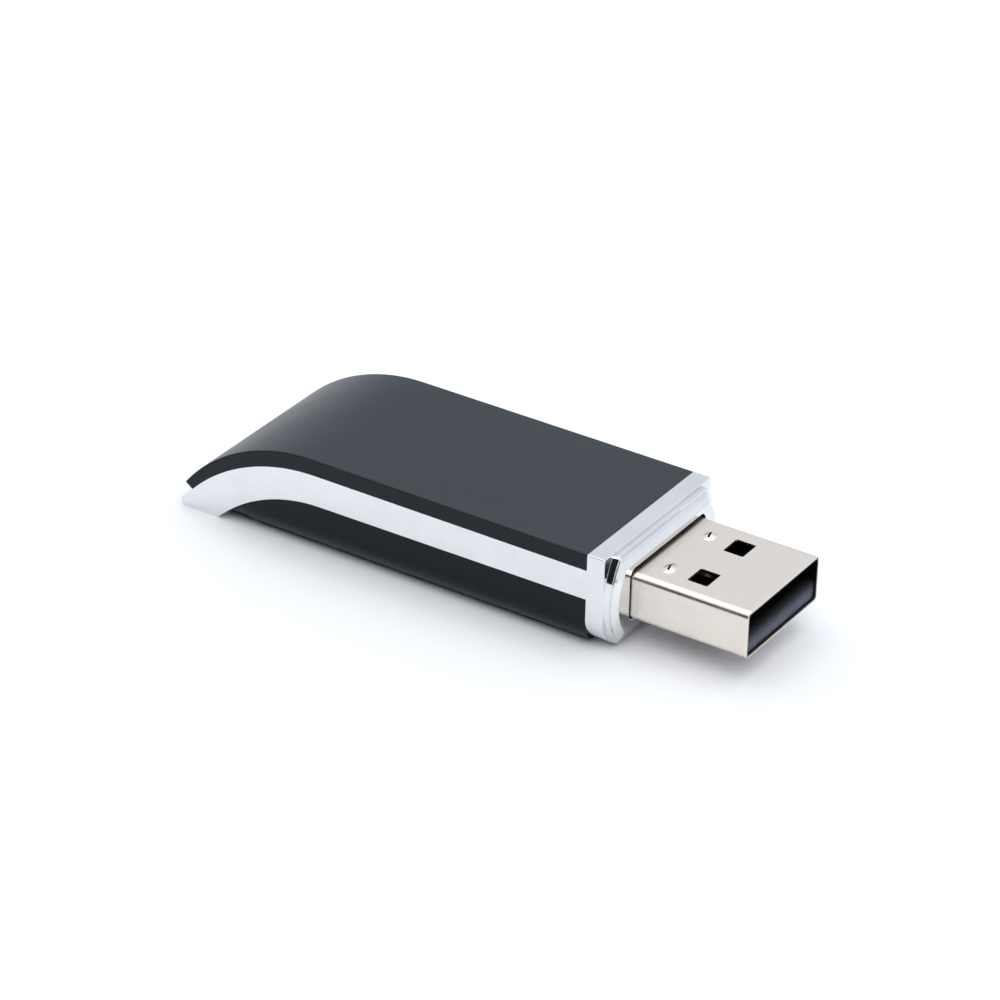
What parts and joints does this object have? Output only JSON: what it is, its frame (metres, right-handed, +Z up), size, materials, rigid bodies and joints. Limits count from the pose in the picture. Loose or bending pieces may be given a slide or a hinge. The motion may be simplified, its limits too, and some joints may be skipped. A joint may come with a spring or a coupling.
{
  "type": "usb flash drive",
  "caption": "Slim USB flash drive with a USB-A plug: satin black cover that curves down to the table at the tail, bright band and collar, black lower shell, plug exposed.",
  "frame": {"origin": "middle of the drive's length and width, on the surface that it lies on", "axes": "+X along the length, out of the plug's mouth; +Y across the width; +Z up, through the black cover"},
  "size_m": [0.0562, 0.0174, 0.0092],
  "materials": {
    "cover_black": "satin moulded ABS, very fine grain, slightly soft edges",
    "bright_frame": "bright chrome-plated ABS, faint orange peel",
    "shell_black": "semi-gloss moulded ABS",
    "plug_steel": "nickel-plated folded sheet, fine rolled grain, polished bends",
    "tongue_plastic": "dark moulded liquid-crystal polymer",
    "contact_gold": "gold flash over nickel on copper alloy",
    "board_green": "solder mask over glass epoxy",
    "chip_black": "moulded epoxy",
    "lead_tin": "matte tin plating on copper alloy",
    "component_ceramic": "fired ceramic",
    "lid_metal": "nickel-plated lid",
    "component_ferrite": "fired ferrite",
    "solder": "bright reflowed solder"
  },
  "bodies": {
    "root": {"top_cover": "cover_black", "mid_frame": "bright_frame", "bottom_shell": "shell_black", "plug_shell": "plug_steel", "plug_insulator": "tongue_plastic", "contact_vbus": "contact_gold", "contact_data_minus": "contact_gold", "contact_data_plus": "contact_gold", "contact_ground": "contact_gold", "circuit_board": "board_green", "nand_package": "chip_black", "nand_leads": "lead_tin", "controller_package": "chip_black", "controller_leads": "lead_tin", "crystal_base": "component_ceramic", "crystal_lid": "lid_metal", "capacitors": "component_ceramic", "resistors": "chip_black", "passive_terminals": "lead_tin", "regulator": "chip_black", "regulator_leads": "lead_tin", "ferrite_bead": "component_ferrite", "solder_joints": "solder"}
  },
  "joints": []
}
